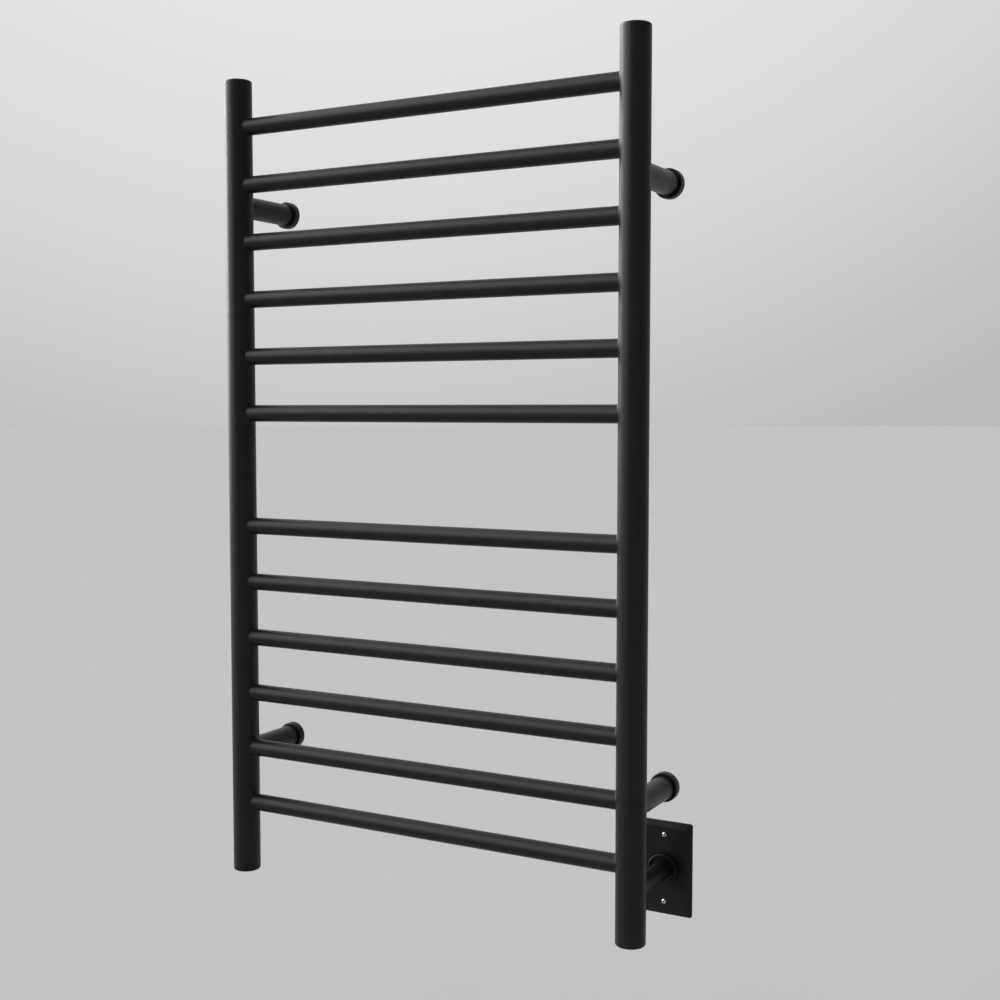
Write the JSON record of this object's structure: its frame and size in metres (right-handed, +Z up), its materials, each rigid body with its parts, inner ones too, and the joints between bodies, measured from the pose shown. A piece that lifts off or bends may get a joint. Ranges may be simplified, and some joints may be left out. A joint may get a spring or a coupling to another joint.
{
  "type": "towel warmer rack",
  "caption": "Wall-hung ladder-style towel warmer of round black tubes with a wider gap at mid height, wall standoffs and a hard-wired conduit and cover plate.",
  "frame": {"origin": "centre of the four wall fixings, on the wall plane", "axes": "+Z up along the posts, +Y back into the wall, +X to the right as one faces the rack"},
  "size_m": [0.6175, 0.155, 1.05],
  "materials": {
    "powder_coat": "satin black powder coat with a fine even grain",
    "plate_coat": "matte black powder coat",
    "anchor_steel": "bright zinc plate",
    "screw_steel": "satin nickel plate",
    "black_screw_steel": "black oxide",
    "seal_rubber": "matte black rubber",
    "gasket_foam": "closed-cell foam",
    "bushing_nylon": "moulded black nylon",
    "cable_silicone": "smooth silicone jacket",
    "lead_white": "smooth insulation",
    "lead_black": "smooth insulation",
    "lead_green": "smooth insulation",
    "cutoff_case": "drawn metal case",
    "splice_nylon": "translucent nylon sleeve",
    "earth_brass": "plain turned brass"
  },
  "bodies": {
    "wall_side": {"wall_anchor_upper_left": "anchor_steel", "wall_anchor_upper_right": "anchor_steel", "wall_anchor_lower_left": "anchor_steel", "wall_anchor_lower_right": "anchor_steel", "cover_plate": "plate_coat", "plate_screws": "screw_steel", "plate_gasket": "gasket_foam"},
    "rack": {"left_post": "powder_coat", "left_top_cap": "powder_coat", "left_bottom_cap": "powder_coat", "right_post": "powder_coat", "right_top_cap": "powder_coat", "right_bottom_cap": "powder_coat", "crossbar_01": "powder_coat", "crossbar_02": "powder_coat", "crossbar_03": "powder_coat", "crossbar_04": "powder_coat", "crossbar_05": "powder_coat", "crossbar_06": "powder_coat", "crossbar_07": "powder_coat", "crossbar_08": "powder_coat", "crossbar_09": "powder_coat", "crossbar_10": "powder_coat", "crossbar_11": "powder_coat", "crossbar_12": "powder_coat", "standoff_upper_left": "powder_coat", "standoff_upper_right": "powder_coat", "standoff_lower_left": "powder_coat", "standoff_lower_right": "powder_coat", "conduit": "powder_coat", "conduit_bushing": "bushing_nylon", "heating_cable": "cable_silicone", "return_lead": "lead_white", "live_lead": "lead_black", "jumper_lead": "lead_black", "earth_lead": "lead_green", "thermal_cutoff": "cutoff_case", "lower_splice": "splice_nylon", "upper_splice": "splice_nylon", "earth_stud": "earth_brass", "earth_tag": "earth_brass", "earth_nut": "earth_brass"},
    "ring_upper_left": {"cover_ring_upper_left": "powder_coat", "grip_seal_upper_left": "seal_rubber"},
    "ring_upper_right": {"cover_ring_upper_right": "powder_coat", "grip_seal_upper_right": "seal_rubber"},
    "ring_lower_left": {"cover_ring_lower_left": "powder_coat", "grip_seal_lower_left": "seal_rubber"},
    "ring_lower_right": {"cover_ring_lower_right": "powder_coat", "grip_seal_lower_right": "seal_rubber"},
    "screw_upper_left": {"set_screw_upper_left": "black_screw_steel"},
    "screw_upper_right": {"set_screw_upper_right": "black_screw_steel"},
    "screw_lower_left": {"set_screw_lower_left": "black_screw_steel"},
    "screw_lower_right": {"set_screw_lower_right": "black_screw_steel"},
    "hub": {"hub_ring": "powder_coat", "hub_seal": "seal_rubber"}
  },
  "joints": [
    {"name": "rack_draw_off", "type": "slide", "parent": "wall_side", "child": "rack", "axis": [0, -1, 0], "range_m": [0, 0.03]},
    {"name": "ring_slide_upper_left", "type": "slide", "parent": "rack", "child": "ring_upper_left", "axis": [0, -1, 0], "range_m": [0, 0.06]},
    {"name": "ring_slide_upper_right", "type": "slide", "parent": "rack", "child": "ring_upper_right", "axis": [0, -1, 0], "range_m": [0, 0.06]},
    {"name": "ring_slide_lower_left", "type": "slide", "parent": "rack", "child": "ring_lower_left", "axis": [0, -1, 0], "range_m": [0, 0.06]},
    {"name": "ring_slide_lower_right", "type": "slide", "parent": "rack", "child": "ring_lower_right", "axis": [0, -1, 0], "range_m": [0, 0.06]},
    {"name": "screw_turn_upper_left", "type": "hinge", "parent": "rack", "child": "screw_upper_left", "pos_m": [-0.282, -0.008, 0.35], "axis": [0, 0, -1], "range_deg": [0, 720]},
    {"name": "screw_turn_upper_right", "type": "hinge", "parent": "rack", "child": "screw_upper_right", "pos_m": [0.282, -0.008, 0.35], "axis": [0, 0, -1], "range_deg": [0, 720]},
    {"name": "screw_turn_lower_left", "type": "hinge", "parent": "rack", "child": "screw_lower_left", "pos_m": [-0.282, -0.008, -0.376], "axis": [0, 0, -1], "range_deg": [0, 720]},
    {"name": "screw_turn_lower_right", "type": "hinge", "parent": "rack", "child": "screw_lower_right", "pos_m": [0.282, -0.008, -0.376], "axis": [0, 0, -1], "range_deg": [0, 720]},
    {"name": "hub_slide", "type": "slide", "parent": "rack", "child": "hub", "axis": [0, -1, 0], "range_m": [0, 0.06]}
  ]
}
